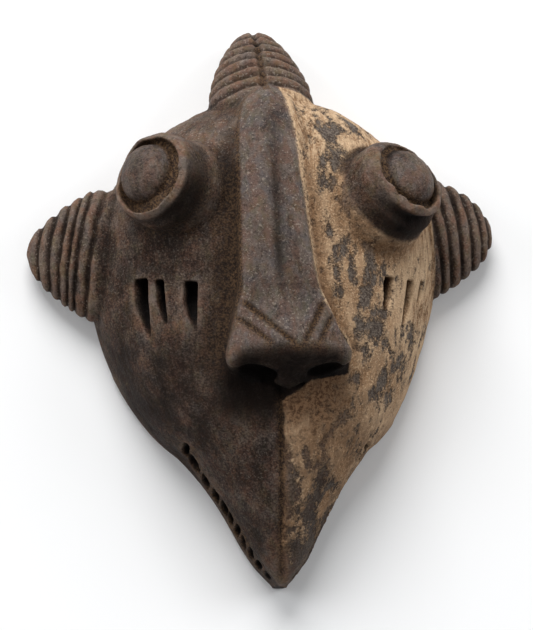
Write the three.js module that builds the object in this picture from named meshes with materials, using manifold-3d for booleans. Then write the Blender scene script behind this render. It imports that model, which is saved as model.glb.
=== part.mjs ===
// A miniature mask carved from one block of wood: a drop-shaped head with a toothed beak, a long nose,
// two eyes on stalks, three notches on each cheek and three ribbed horns, hollowed out behind.
// Millimetres, +Z up. The mask lies on its back: +Z comes out of the face, +Y runs to the horn on the
// forehead and +X to the half that carries the pale pigment. The floor is at z = 0.

import * as THREE from 'three';
import { mergeVertices } from 'three/addons/utils/BufferGeometryUtils.js';
import Module from 'manifold-3d';

const wasm = await Module();
wasm.setup();

// Driving dimensions

const head = {
  tipY: -59.1, // the beak's end
  topY: 47.9, // the forehead's top edge
  cheekY: 11, // where the head is widest
  cheekHalf: 38.4,
  cheekDrop: 10, // how far the cheeks run on straight before they turn in
  corner: [23.8, -27.1], // where the cheeks end and the beak's straighter edges start
  cheekTurn: 8.4, // how far the curve's handles stand off the corner, above it and below it
  beakTurn: 14.6,
  beakSwell: [10.3, -51.2], // the handle that keeps the beak full near its end
  beakEnd: [1.9, -58.1], // where the beak's round end starts
  cheekLean: -1.6, // the left cheek is the fuller one
  cheekLeanY: -8,
  cheekLeanReach: 22,
  beakLean: 0.7,
  crown: 27.5, // the face's height at its middle line
  crownY: 4,
  foreheadTop: 23,
  foreheadRun: 42,
  beakRun: [-22, -46],
  beakSlope: 18.5,
  beakHeight: 10.5,
  fullness: 2.15, // 2 is an ellipse, more is fuller
  around: 40,
  along: 38,
};

const hollow = {
  fromY: -30,
  toY: 38,
  middleY: 9,
  half: 29.5,
  depth: 18.5,
  pinch: 0.28, // how much narrower it gets towards the beak
  around: 32,
  along: 22,
};

const nose = {
  topY: 48.6,
  tipY: -11.4,
  tipZ: 37,
  slope: 11, // how much lower the front starts at the apex
  apexDrop: 6.5, // and how much more it falls over the forehead
  lean: [-1.4, 2.4], // its middle below the apex, and how far the tip swings back over
  apexLean: 1.5, // how far the apex swings over
  // half the width of its front, from the apex down to the wings
  spread: [
    [0.6, 48.6],
    [3.2, 46.8],
    [5.5, 43.8],
    [6.4, 38.5],
    [7.2, 16],
    [8.4, 2],
    [11.6, -7],
    [13.4, -11.4],
  ],
  flare: 1.6, // how much wider the nose is at its foot
  ridge: 2, // how far its edges lie below its middle
  wingDrop: 3.6, // how much further it falls at the wings
  wingRun: 4, // how far the wings reach below the tip
  wingFromY: 2,
  underRun: 8.2, // how far the underside slopes down the middle
  underDepth: 11,
  underRound: 0.9, // how much of that slope is gone at the wings
  foot: 14, // how deep the nose is set, below its front
  // powers of its curves: the higher one is, the later and the quicker its change comes
  power: {
    lean: 4, apexLean: 8, apex: 9, ridge: 1.25, round: 2.4, wingOut: 3, wingDown: 6, under: 8, inward: 1.3,
  },
  across: 8,
  down: 19,
  deep: 4,
  nostrils: [
    { side: -1, x: 6.3, y: -15.3, long: 8.6, wide: 4.3 },
    { side: 1, x: 7.3, y: -14.9, long: 7.6, wide: 3.1 },
  ],
  nostril: { z: 28.4, deep: 4.8, turn: 14, around: 12, rings: 8 },
};

// tilt leans a stalk to the side and lean towards the forehead, slope is how far the collar widens below
// its rim, and shift moves the pupil across the collar and up it
const eye = {
  left: {
    base: [-20.7, 25.4, 21], tilt: -45, lean: 11, stalk: 9.3, slope: 0.8, pupil: 6.5, pupilHeight: 5,
    shift: [-1.2, 0.8],
  },
  right: {
    base: [23.5, 22.3, 20.7], tilt: 37, lean: 24, stalk: 8.9, slope: 1.6, pupil: 6.6, pupilHeight: 4.4,
    shift: [1.2, 1],
  },
  flare: 0.6, // how much wider a stalk is at its foot
  footHeight: 0.5,
  neckHeight: 2.2, // where the foot has run into the stalk
  height: 9.6,
  slopeRun: 3.2, // how far down a collar goes on widening
  wall: 1.2,
  draft: 0.3, // how much the moat narrows towards its floor
  moat: 2,
  sunk: 9,
  around: 22,
  rings: 10,
};

const horn = {
  around: 20,
  grooveDepth: 0.9,
  crest: [0.3, 0.7], // where a rib is at its full height, as shares of the way between two grooves
  lastRib: 2.2, // from the last groove to the tip's cap
  blunt: 0.7, // the smallest radius at the tip
  sunk: 7, // how deep it runs on into the head
  // half and thick give the section's width and its flatness; back is the lean away from the face.
  // The grooves bow towards the tip in front and slant across.
  top: {
    root: [-0.4, 45, 9.6], turn: 2, back: 20, half: 11.5, thick: 0.76, length: 19.9, taper: [1.5, 0.55],
    grooves: [-0.2, 2.5, 5.3, 8, 10.6, 13.2, 15.6], bow: 1.6, slant: 0,
  },
  left: {
    root: [-38, 14.1, 4.6], turn: 88, back: 3, half: 14.3, thick: 0.5, length: 14, taper: [1, 0.5],
    grooves: [-0.9, 2.1, 3.8, 5.9, 8.3, 10.9], bow: 1.1, slant: 0.17,
  },
  right: {
    root: [36.4, 17.2, 4.6], turn: -86, back: 3, half: 13.8, thick: 0.52, length: 14, taper: [1, 0.44],
    grooves: [-0.2, 2.4, 5.4, 8.1, 10.6, 12.6], bow: 0.3, slant: -0.1,
  },
  split: { wide: 1.6, deep: 1.2, steps: 6 }, // the groove down the middle of the top horn
};

const mouth = {
  fromY: -29.3,
  toY: -57.9,
  // the gaps between the teeth, on each side: shares of the way along the mouth, and lengths
  slots: [
    [0.045, 1.7],
    [0.132, 2.9],
    [0.262, 2.6],
    [0.366, 2.1],
    [0.458, 2.3],
    [0.53, 1.8],
    [0.615, 2],
    [0.695, 2.1],
    [0.776, 1.7],
    [0.866, 1.8],
    [0.95, 1.6],
  ],
  lowZ: 2.6,
  highZ: 8.2,
  cornerRise: 5.2, // how much higher the mouth starts at its corner
  cornerRun: 0.27, // share of the way over which it comes down
  depth: 4,
  tipDepth: 1.5,
  samples: 80, // points read off the head's edge
};

const notches = [
  { x: -28.7, y: -0.4, long: 13.4, wide: 3.5, turn: -1.2 },
  { x: -24.9, y: 0.5, long: 10.2, wide: 2, turn: -2.3 },
  { x: -18.9, y: -0.8, long: 11.1, wide: 3.2, turn: 3 },
  { x: 24.2, y: 1.4, long: 8.4, wide: 2.7, turn: 2 },
  { x: 28.8, y: 0, long: 11.2, wide: 2.6, turn: 6 },
  { x: 32, y: 2.9, long: 6, wide: 1.3, turn: 6 },
];
const notch = {
  depth: 4.2,
  endDepth: 0.3, // at its lower end
  proud: 4, // how far each cutter starts outside the cheek
  point: 0.08, // its width at the lower end, as a share of the whole width
  belly: 0.25, // how far down it keeps its width, as a share of its length
};

const midline = { fromY: -17, toY: -57.5, wide: 1, deep: 0.9, steps: 10 };

const chevrons = [
  { from: [-8.4, -1.3], to: [2.1, -11.3] },
  { from: [-9.8, -4.4], to: [-3.4, -10.2] },
  { from: [8.4, -1.5], to: [3.5, -10.9] },
  { from: [10.2, -4.1], to: [6.6, -10.9] },
];
const chevron = { wide: 1.1, deep: 0.8 };

const underFloor = { wide: 200, deep: 50 }; // what is cut away so that the back lies flat

// Small helpers

const degrees = THREE.MathUtils.degToRad;

// A path drawn downwards, with y along the head, read as a width or height for any y.
function readPath(path) {
  const points = path.getPoints(40);
  return (y) => {
    for (let i = 1; i < points.length; i += 1) {
      const [a, b] = [points[i - 1], points[i]];
      if (y <= a.y && y >= b.y && a.y > b.y) {
        return THREE.MathUtils.lerp(a.x, b.x, (a.y - y) / (a.y - b.y));
      }
    }
    return y > points[0].y ? points[0].x : points.at(-1).x;
  };
}

// A closed geometry as a solid that can be joined and cut.
function toSolid(geometry, matrix = new THREE.Matrix4()) {
  const bare = geometry.index ? geometry.clone() : geometry;
  bare.deleteAttribute('normal');
  bare.deleteAttribute('uv');
  bare.applyMatrix4(matrix);
  const merged = mergeVertices(bare, 1e-4);
  const position = merged.attributes.position;
  const index = Array.from(merged.index.array);
  const triangles = [];
  for (let i = 0; i < index.length; i += 3) {
    const [a, b, c] = index.slice(i, i + 3);
    if (a !== b && b !== c && c !== a) triangles.push(a, b, c);
  }
  return new wasm.Manifold(
    new wasm.Mesh({
      numProp: 3,
      vertProperties: new Float32Array(position.array),
      triVerts: new Uint32Array(triangles),
    })
  );
}

// A matrix that stands a shape's own +Y along a direction, at a place.
function along(direction, place) {
  const up = new THREE.Vector3(0, 1, 0);
  const turn = new THREE.Quaternion().setFromUnitVectors(up, direction.clone().normalize());
  return new THREE.Matrix4().compose(place, turn, new THREE.Vector3(1, 1, 1));
}

// The head

const outlinePath = new THREE.Path();
outlinePath.absellipse(0, head.cheekY, head.cheekHalf, head.topY - head.cheekY, Math.PI / 2, 0, true);
outlinePath.bezierCurveTo(
  head.cheekHalf, head.cheekY - head.cheekDrop,
  head.corner[0] + head.cheekTurn, head.corner[1] + head.cheekTurn,
  ...head.corner
);
outlinePath.bezierCurveTo(
  head.corner[0] - head.beakTurn, head.corner[1] - head.beakTurn,
  ...head.beakSwell,
  ...head.beakEnd
);
outlinePath.absellipse(
  0, head.beakEnd[1],
  head.beakEnd[0], head.beakEnd[1] - head.tipY,
  0, -Math.PI / 2, true
);
const halfWidth = readPath(outlinePath);

const crownPath = new THREE.Path();
crownPath.moveTo(0, head.topY);
crownPath.bezierCurveTo(head.foreheadTop, head.topY, head.crown, head.foreheadRun, head.crown, head.crownY);
crownPath.bezierCurveTo(
  head.crown, head.beakRun[0],
  head.beakSlope, head.beakRun[1],
  head.beakHeight, head.beakEnd[1]
);
crownPath.absellipse(
  0, head.beakEnd[1],
  head.beakHeight, head.beakEnd[1] - head.tipY,
  0, -Math.PI / 2, true
);
const crownHeight = readPath(crownPath);

function middle(y) {
  const offset = (y - head.cheekLeanY) / head.cheekLeanReach;
  return head.beakLean + head.cheekLean * Math.exp(-offset * offset);
}

// A point of the head's skin: y along the head, angle round it from the +X edge over the crown.
function headPoint(y, angle) {
  const power = 2 / head.fullness;
  const across = Math.sign(Math.cos(angle)) * Math.abs(Math.cos(angle)) ** power;
  const rise = Math.sign(Math.sin(angle)) * Math.abs(Math.sin(angle)) ** power;
  return new THREE.Vector3(middle(y) + halfWidth(y) * across, y, crownHeight(y) * rise);
}

function faceHeight(x, y) {
  const share = Math.min(1, Math.abs(x - middle(y)) / halfWidth(y));
  return crownHeight(y) * (1 - share ** head.fullness) ** (1 / head.fullness);
}

function buildHead() {
  const geometry = new THREE.SphereGeometry(1, head.around, head.along);
  const position = geometry.attributes.position;
  for (let i = 0; i < position.count; i += 1) {
    const reach = Math.hypot(position.getX(i), position.getZ(i));
    const angle = reach < 1e-6 ? 0 : Math.atan2(position.getZ(i), position.getX(i));
    const y = THREE.MathUtils.lerp(head.tipY, head.topY, (position.getY(i) + 1) / 2);
    const point = reach < 1e-6 ? new THREE.Vector3(middle(y), y, 0) : headPoint(y, angle);
    position.setXYZ(i, point.x, point.y, point.z);
  }
  return toSolid(geometry);
}

function buildHollow() {
  const geometry = new THREE.SphereGeometry(1, hollow.around, hollow.along);
  const position = geometry.attributes.position;
  for (let i = 0; i < position.count; i += 1) {
    const down = position.getY(i) < 0;
    const run = down ? hollow.middleY - hollow.fromY : hollow.toY - hollow.middleY;
    const y = hollow.middleY + position.getY(i) * run;
    const pinch = down ? 1 + hollow.pinch * position.getY(i) : 1;
    position.setXYZ(
      i,
      middle(y) + position.getX(i) * hollow.half * pinch,
      y,
      position.getZ(i) * hollow.depth
    );
  }
  return toSolid(geometry);
}

// The nose: a long ridge that widens from its apex to two wings, with a sloping underside.

const nosePoints = nose.spread.map(([half, y]) => new THREE.Vector2(half, y));
const noseHalf = readPath(new THREE.SplineCurve(nosePoints));

function noseMiddle(drop) {
  const swing = nose.apexLean * (1 - drop) ** nose.power.apexLean;
  return nose.lean[0] + nose.lean[1] * drop ** nose.power.lean + swing;
}

// 0 on the bridge, 1 at the wings
function wingShare(y) {
  return THREE.MathUtils.smoothstep(-y, -nose.wingFromY, -nose.tipY);
}

// The front's height, where drop runs from 0 at the apex to 1 at the tip and side from -1 to 1 across.
function noseFront(drop, side) {
  const rest = 1 - drop;
  const wing = wingShare(THREE.MathUtils.lerp(nose.topY, nose.tipY, drop));
  const ridge = nose.ridge * Math.abs(side) ** nose.power.ridge;
  const round = nose.wingDrop * wing * Math.abs(side) ** nose.power.round;
  return nose.tipZ - nose.slope * rest - nose.apexDrop * rest ** nose.power.apex - ridge - round;
}

function buildNose() {
  const geometry = new THREE.BoxGeometry(2, 1, 1, nose.across, nose.down, nose.deep);
  const position = geometry.attributes.position;
  for (let i = 0; i < position.count; i += 1) {
    const side = position.getX(i);
    const drop = 0.5 - position.getY(i);
    const depth = 0.5 - position.getZ(i); // 0 in front, 1 at the foot
    const y = THREE.MathUtils.lerp(nose.topY, nose.tipY, drop);
    const half = noseHalf(y) + nose.flare * depth * (1 - 2 * wingShare(y));
    const sloped = Math.min(1, (depth * nose.foot) / nose.underDepth);
    const inward = 1 - nose.underRound * Math.abs(side) ** nose.power.inward;
    const under = sloped * inward * nose.underRun * drop ** nose.power.under;
    const wing = nose.wingRun * Math.abs(side) ** nose.power.wingOut * drop ** nose.power.wingDown;
    position.setXYZ(
      i,
      noseMiddle(drop) + side * half,
      y - wing - under,
      noseFront(drop, side) - depth * nose.foot
    );
  }
  return toSolid(geometry);
}

function buildNostril({ side, x, y, long, wide }) {
  const { z, deep, turn, around, rings } = nose.nostril;
  const matrix = new THREE.Matrix4().makeRotationZ(degrees(side * turn));
  matrix.scale(new THREE.Vector3(long, wide, deep));
  matrix.setPosition(noseMiddle(1) + side * x, y, z);
  return toSolid(new THREE.SphereGeometry(0.5, around, rings), matrix);
}

// The eyes: stalks that end in a collar, with a pupil standing in a moat.
function buildEye({ base, tilt, lean, stalk: rim, slope, pupil: pupilRadius, pupilHeight, shift }) {
  const floor = eye.height - eye.moat;
  const neck = rim + slope;
  const profile = [
    new THREE.Vector2(0, -eye.sunk),
    new THREE.Vector2(neck + eye.flare, -eye.sunk),
    new THREE.Vector2(neck + eye.flare, eye.footHeight),
    new THREE.Vector2(neck, eye.neckHeight),
    new THREE.Vector2(neck, eye.height - eye.slopeRun),
    new THREE.Vector2(rim, eye.height),
    new THREE.Vector2(rim - eye.wall, eye.height),
    new THREE.Vector2(rim - eye.wall - eye.draft, floor),
    new THREE.Vector2(0, floor),
  ];
  const swing = new THREE.Matrix4().makeRotationY(degrees(tilt));
  const stand = swing.multiply(new THREE.Matrix4().makeRotationX(degrees(90 - lean)));
  stand.setPosition(...base);
  const stalk = toSolid(new THREE.LatheGeometry(profile, eye.around), stand);
  // the shape's own +Y is the stalk's axis, and its +Z points away from the forehead
  const sit = new THREE.Matrix4().makeTranslation(shift[0], floor, -shift[1]);
  const matrix = stand.clone().multiply(sit).scale(new THREE.Vector3(pupilRadius, pupilHeight, pupilRadius));
  const pupil = toSolid(new THREE.SphereGeometry(1, eye.around, eye.rings), matrix);
  return stalk.add(pupil);
}

// A horn: a blunt ribbed cone, flatter than it is wide, leaning back from the face.
function hornRadius({ half, taper }, share) {
  return half * (1 - THREE.MathUtils.clamp(share, 0, 1) ** taper[0]) ** taper[1];
}

function hornMatrix({ root, turn, back, thick }) {
  const shape = new THREE.Matrix4().makeScale(1, 1, thick);
  const lean = new THREE.Matrix4().makeRotationX(degrees(-back));
  const matrix = new THREE.Matrix4().makeRotationZ(degrees(turn)).multiply(lean).multiply(shape);
  return matrix.setPosition(...root);
}

// Places along a horn and how deep each is cut: a groove, then the two edges of the rib above it.
function hornStations({ grooves, length }) {
  const stations = [];
  for (let i = 0; i < grooves.length; i += 1) {
    const next = i + 1 < grooves.length ? grooves[i + 1] : grooves[i] + horn.lastRib;
    stations.push({ place: grooves[i], cut: horn.grooveDepth });
    for (const share of horn.crest) {
      const place = THREE.MathUtils.lerp(grooves[i], next, share);
      if (place < length) stations.push({ place, cut: 0 });
    }
  }
  return stations;
}

function buildHorn(which) {
  const stations = hornStations(which);
  const foot = which.half - horn.grooveDepth;
  const profile = [new THREE.Vector2(0, -horn.sunk), new THREE.Vector2(foot, -horn.sunk)];
  const before = profile.length;
  // the stations' own radii are set below
  for (const { place } of stations) profile.push(new THREE.Vector2(1, place));
  profile.push(new THREE.Vector2(0, which.length));
  const geometry = new THREE.LatheGeometry(profile, horn.around);
  const position = geometry.attributes.position;
  for (let i = 0; i < position.count; i += 1) {
    const station = stations[(i % profile.length) - before];
    if (!station) continue;
    const [sine, cosine] = [position.getX(i), position.getZ(i)];
    const bow = which.bow * Math.max(0, cosine) ** 2;
    const straight = hornRadius(which, station.place / which.length);
    const slant = which.slant * straight * sine * (1 - Math.max(0, station.place) / which.length);
    const place = Math.min(station.place + bow - slant, which.length - horn.blunt / 2);
    const radius = Math.max(horn.blunt, hornRadius(which, place / which.length) - station.cut);
    position.setXYZ(i, radius * sine, place, radius * cosine);
  }
  return toSolid(geometry, hornMatrix(which));
}

// Cuts

function bar(wide, long, deep, place, turnZ = 0) {
  const matrix = new THREE.Matrix4().makeRotationZ(turnZ);
  matrix.setPosition(place.x, place.y, place.z);
  return toSolid(new THREE.BoxGeometry(wide, long, deep), matrix);
}

// A V-shaped groove that follows a list of points on the skin; each piece runs a little into the next.
function groove(points, wide, deep) {
  const overlap = wide * 0.4;
  let cut = null;
  for (let i = 1; i < points.length; i += 1) {
    const run = points[i].clone().sub(points[i - 1]);
    const place = points[i].clone().add(points[i - 1]).multiplyScalar(0.5);
    const geometry = new THREE.CylinderGeometry(1, 1, 1, 4);
    const turn = along(run, place);
    turn.scale(new THREE.Vector3(wide / Math.SQRT2, run.length() + overlap, deep));
    const piece = toSolid(geometry, turn);
    cut = cut ? cut.add(piece) : piece;
  }
  return cut;
}

function buildMidline() {
  const points = [];
  for (let i = 0; i <= midline.steps; i += 1) {
    const y = THREE.MathUtils.lerp(midline.fromY, midline.toY, i / midline.steps);
    points.push(new THREE.Vector3(0, y, faceHeight(0, y)));
  }
  return groove(points, midline.wide, midline.deep);
}

function buildChevron({ from, to }) {
  const points = [];
  for (const share of [0, 0.5, 1]) {
    const x = THREE.MathUtils.lerp(from[0], to[0], share);
    const y = THREE.MathUtils.lerp(from[1], to[1], share);
    const drop = (nose.topY - y) / (nose.topY - nose.tipY);
    const side = (x - noseMiddle(drop)) / noseHalf(y);
    points.push(new THREE.Vector3(x, y, noseFront(Math.min(1, drop), side)));
  }
  return groove(points, chevron.wide, chevron.deep);
}

// A notch on a cheek: wide and deep at its upper end, running out to a point below. The wall towards the
// nose is straight.
function buildNotch({ x, y, long, wide, turn }) {
  const inner = ((x < 0 ? 1 : -1) * wide) / 2;
  const shape = new THREE.Shape();
  shape.moveTo(inner, long / 2);
  shape.lineTo(inner, -long / 2);
  shape.lineTo(inner * (1 - 2 * notch.point), -long / 2);
  shape.quadraticCurveTo(-inner, long * (notch.belly - 0.5), -inner, long / 2);
  const depth = notch.depth + notch.proud;
  const geometry = new THREE.ExtrudeGeometry(shape, { depth, bevelEnabled: false, curveSegments: 4 });
  geometry.translate(0, 0, -notch.depth);
  const position = geometry.attributes.position;
  for (let i = 0; i < position.count; i += 1) {
    if (position.getZ(i) < 0) {
      // the floor rises to the skin at the lower end
      const share = position.getY(i) / long + 0.5;
      position.setZ(i, -Math.max(notch.endDepth, notch.depth * share));
    }
  }
  // the cheek's slope, from heights half a millimetre to each side
  const slopeX = faceHeight(x + 0.5, y) - faceHeight(x - 0.5, y);
  const slopeY = faceHeight(x, y + 0.5) - faceHeight(x, y - 0.5);
  const normal = new THREE.Vector3(-slopeX, -slopeY, 1).normalize();
  const tilt = new THREE.Quaternion().setFromUnitVectors(new THREE.Vector3(0, 0, 1), normal);
  const spin = new THREE.Quaternion().setFromAxisAngle(new THREE.Vector3(0, 0, 1), degrees(-turn));
  const place = new THREE.Vector3(x, y, faceHeight(x, y));
  const matrix = new THREE.Matrix4().compose(place, tilt.multiply(spin), new THREE.Vector3(1, 1, 1));
  return toSolid(geometry, matrix);
}

// The mouth: a row of upright slots along each edge of the beak, with the teeth left between them.
function buildMouth(side) {
  const edge = [];
  for (let i = 0; i <= mouth.samples; i += 1) {
    const y = THREE.MathUtils.lerp(mouth.fromY, mouth.toY, i / mouth.samples);
    edge.push(new THREE.Vector3(middle(y) + side * halfWidth(y), y, 0));
  }
  const curve = new THREE.CatmullRomCurve3(edge);
  const cuts = [];
  for (const [share, long] of mouth.slots) {
    const place = curve.getPointAt(share);
    const run = curve.getTangentAt(share);
    const depth = THREE.MathUtils.lerp(mouth.depth, mouth.tipDepth, share ** 2);
    place.z = (mouth.lowZ + mouth.highZ) / 2 + mouth.cornerRise * Math.max(0, 1 - share / mouth.cornerRun);
    cuts.push(bar(2 * depth, long, mouth.highZ - mouth.lowZ, place, Math.atan2(-run.x, run.y)));
  }
  return cuts;
}

// The groove down the front of the top horn.
function buildSplit() {
  const points = [];
  const matrix = hornMatrix(horn.top);
  for (let i = 0; i <= horn.split.steps; i += 1) {
    const share = i / horn.split.steps;
    const point = new THREE.Vector3(0, share * horn.top.length, hornRadius(horn.top, share));
    points.push(point.applyMatrix4(matrix));
  }
  return groove(points, horn.split.wide, horn.split.deep);
}

// Joining and cutting the one piece

function buildMask() {
  let solid = buildHead();
  solid = solid.add(buildHorn(horn.top)).add(buildHorn(horn.left)).add(buildHorn(horn.right));
  solid = solid.add(buildNose()).add(buildEye(eye.left)).add(buildEye(eye.right));
  const cuts = [
    buildHollow(),
    buildMidline(),
    buildSplit(),
    ...nose.nostrils.map(buildNostril),
    ...chevrons.map(buildChevron),
    ...notches.map(buildNotch),
    ...buildMouth(-1),
    ...buildMouth(1),
  ];
  for (const cut of cuts) solid = solid.subtract(cut);
  const below = new THREE.Vector3(0, 0, -underFloor.deep / 2);
  return solid.subtract(bar(underFloor.wide, underFloor.wide, underFloor.deep, below));
}

function toGeometry(solid) {
  const mesh = solid.getMesh();
  const geometry = new THREE.BufferGeometry();
  geometry.setAttribute('position', new THREE.BufferAttribute(new Float32Array(mesh.vertProperties), 3));
  geometry.setIndex(new THREE.BufferAttribute(new Uint32Array(mesh.triVerts), 1));
  // the floor stays at z = 0, and the middle of the box comes over the origin
  geometry.computeBoundingBox();
  const { min, max } = geometry.boundingBox;
  geometry.translate(-(min.x + max.x) / 2, -(min.y + max.y) / 2, 0);
  geometry.computeVertexNormals();
  return geometry;
}

const wood = new THREE.MeshStandardMaterial({ color: 0x4a3d34, roughness: 0.6, metalness: 0 });
const mask = new THREE.Mesh(toGeometry(buildMask()), wood);
mask.name = 'mask';

const miniatureMask = new THREE.Group();
miniatureMask.add(mask);

export default miniatureMask;
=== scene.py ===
# The miniature mask for the three-tool frame: carved relief, worn patina and pale pigment, seen as in
# the photograph. The carving is worked out in millimetres, with the beak towards -Y, the face towards
# +Z and the pale half towards +X, and is moved into the frame at the end.
import math
import bpy
import numpy as np
import openvdb
from mathutils import Matrix, Vector


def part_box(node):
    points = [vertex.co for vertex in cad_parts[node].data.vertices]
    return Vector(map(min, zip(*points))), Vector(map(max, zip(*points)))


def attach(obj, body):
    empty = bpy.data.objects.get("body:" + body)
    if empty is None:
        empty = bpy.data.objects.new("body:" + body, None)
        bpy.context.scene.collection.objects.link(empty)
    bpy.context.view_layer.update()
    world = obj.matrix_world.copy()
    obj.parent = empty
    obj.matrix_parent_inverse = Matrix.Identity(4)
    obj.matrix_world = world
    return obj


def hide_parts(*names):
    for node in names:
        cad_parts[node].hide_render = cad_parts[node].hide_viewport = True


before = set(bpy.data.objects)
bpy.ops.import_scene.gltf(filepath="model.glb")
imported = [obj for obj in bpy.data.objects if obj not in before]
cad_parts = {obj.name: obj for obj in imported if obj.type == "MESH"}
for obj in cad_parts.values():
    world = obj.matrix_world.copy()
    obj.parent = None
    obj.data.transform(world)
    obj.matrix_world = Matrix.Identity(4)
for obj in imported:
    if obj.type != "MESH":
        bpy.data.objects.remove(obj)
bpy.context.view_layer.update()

# the head's sizes; all sizes of the carving are in millimetres
head = {
    "tipY": -59.1, "topY": 47.9,
    "cheekY": 11, "cheekHalf": 38.4, "cheekDrop": 10,  # where the head is widest
    "corner": (23.8, -27.1), "cheekTurn": 8.4,  # where the cheek ends and the beak starts
    "beakTurn": 14.6, "beakSwell": (10.3, -51.2), "beakEnd": (1.9, -58.1),
    "cheekLean": -1.6, "cheekLeanY": -8, "cheekLeanReach": 22, "beakLean": 0.7,
    "crown": 27.5, "crownY": 4,  # height of the face at its middle line
    "foreheadTop": 23, "foreheadRun": 42,
    "beakRun": (-22, -46), "beakSlope": 18.5, "beakHeight": 10.5,
    "fullness": 2.15, "leastHalf": 0.3,
}


def bezier(a, b, c, d, count=60):
    t = np.linspace(0, 1, count)[:, None]
    a, b, c, d = (np.array(point, float) for point in (a, b, c, d))
    return (1 - t) ** 3 * a + 3 * t * (1 - t) ** 2 * b + 3 * t * t * (1 - t) * c + t ** 3 * d


def roundEnd(half, baseY, endY, count=60):
    turn = np.linspace(0, math.pi / 2, count)
    return np.column_stack((half * np.cos(turn), baseY + (endY - baseY) * np.sin(turn)))


def readPath(*pieces):
    # width or height for any y, off a path drawn downwards
    path = np.vstack(pieces)[::-1]
    return lambda y: np.interp(y, path[:, 1], path[:, 0])


def unit(value):
    return np.clip(value, 0, 1)


def fade(low, high, value):
    # 0 up to low, 1 from high on, and smooth between them
    t = unit((value - low) / (high - low))
    return t * t * (3 - 2 * t)


corner = np.array(head["corner"])
halfWidth = readPath(
    roundEnd(head["cheekHalf"], head["cheekY"], head["topY"])[::-1],
    bezier((head["cheekHalf"], head["cheekY"]), (head["cheekHalf"], head["cheekY"] - head["cheekDrop"]),
           corner + head["cheekTurn"], corner),
    bezier(corner, corner - head["beakTurn"], head["beakSwell"], head["beakEnd"]),
    roundEnd(head["beakEnd"][0], head["beakEnd"][1], head["tipY"]),
)
crownHeight = readPath(
    bezier((0, head["topY"]), (head["foreheadTop"], head["topY"]), (head["crown"], head["foreheadRun"]),
           (head["crown"], head["crownY"])),
    bezier((head["crown"], head["crownY"]), (head["crown"], head["beakRun"][0]),
           (head["beakSlope"], head["beakRun"][1]), (head["beakHeight"], head["beakEnd"][1])),
    roundEnd(head["beakHeight"], head["beakEnd"][1], head["tipY"]),
)


def middle(y):
    lean = np.exp(-((y - head["cheekLeanY"]) / head["cheekLeanReach"]) ** 2)
    return head["beakLean"] + head["cheekLean"] * lean


def headShape(x, y, z):
    # 1 on the head's uncut surface, and less inside it
    share = np.abs(x - middle(y)) / np.maximum(halfWidth(y), head["leastHalf"])
    rise = np.abs(z) / np.maximum(crownHeight(y), head["leastHalf"])
    return (share ** head["fullness"] + rise ** head["fullness"]) ** (1 / head["fullness"])


def faceHeight(x, y):
    share = unit(np.abs(x - middle(y)) / np.maximum(halfWidth(y), head["leastHalf"]))
    return crownHeight(y) * (1 - share ** head["fullness"]) ** (1 / head["fullness"])


nose = {
    "topY": 48.6, "tipY": -11.4, "tipZ": 37,
    "slope": 11, "apexDrop": 6.5, "apexCurve": 9,
    "lean": (-1.4, 2.4), "leanCurve": 4, "apexLean": 1.5, "apexLeanCurve": 8,
    # half its width, and where
    "spread": ((0.6, 48.6), (1.7, 48), (3.2, 46.8), (4.6, 45.4), (5.5, 43.8), (6.4, 38.5), (7.2, 16),
               (8.4, 2), (11.6, -7), (13.4, -11.4)),
    "flare": 1.6, "foot": 14,
    "ridge": 2, "ridgeCurve": 1.25,  # how far its edges lie below its middle
    "wingDrop": 3.6, "wingCurve": 2.4, "wingRun": 4, "wingRunCurve": 3, "wingFromY": 2,
    "underRun": 8.2, "underDepth": 11, "underRound": 0.9, "underCurve": 1.3,
    "edge": 1.5, "tipEdge": 2.4,  # rounding of the long edges and of the tip
    "fillet": 1.8,  # where it runs into the face
    "nostrils": ({"side": -1, "x": 6.3, "y": -15.3, "long": 8.6, "wide": 4.3},
                 {"side": 1, "x": 7.3, "y": -14.9, "long": 7.6, "wide": 3.1}),
    "nostrilZ": 28.4, "nostrilDeep": 4.8, "nostrilTurn": 14,
}


def noseShare(y):
    return unit((nose["topY"] - y) / (nose["topY"] - nose["tipY"]))


def noseMiddle(y):
    lean = nose["lean"][0] + nose["lean"][1] * noseShare(y) ** nose["leanCurve"]
    return lean + nose["apexLean"] * (1 - noseShare(y)) ** nose["apexLeanCurve"]


def noseHalf(y):
    spread = np.array(nose["spread"])[::-1]
    return np.interp(y, spread[:, 1], spread[:, 0])


def noseWing(y):
    return fade(-nose["wingFromY"], -nose["tipY"], -y)


def noseFront(x, y):
    # the height of the nose's front
    rest = 1 - noseShare(y)
    side = np.clip(np.abs(x - noseMiddle(y)) / noseHalf(y), 0, 1.3)
    drop = nose["ridge"] * side ** nose["ridgeCurve"]
    drop = drop + nose["wingDrop"] * noseWing(y) * side ** nose["wingCurve"]
    return nose["tipZ"] - nose["slope"] * rest - nose["apexDrop"] * rest ** nose["apexCurve"] - drop


# the camera, as it stood for the photograph
view = {
    "yaw": 7,  # the camera stands a little to the dark half
    "pitch": 9,  # and a little below the beak
    "roll": 2.1,
    "distance": 650,
    "scale": 4.65,  # pixels a millimetre at the target
    "width": 533, "height": 630, "sensor": 36,
    "targetPixel": (272.0, 311.5), "target": (0, 0, 12),
}


def cameraAxes():
    yaw, pitch, roll = (math.radians(view[key]) for key in ("yaw", "pitch", "roll"))
    back = Vector((-math.sin(yaw), -math.sin(pitch) * math.cos(yaw), math.cos(pitch) * math.cos(yaw)))
    up = (Vector((0, 1, 0)) - back * back.y).normalized()
    right = up.cross(back)
    return back, right * math.cos(roll) - up * math.sin(roll), up * math.cos(roll) + right * math.sin(roll)


def smoothMin(a, b, blend):
    share = unit(0.5 + 0.5 * (b - a) / blend)
    return b * (1 - share) + a * share - blend * share * (1 - share)


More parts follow.
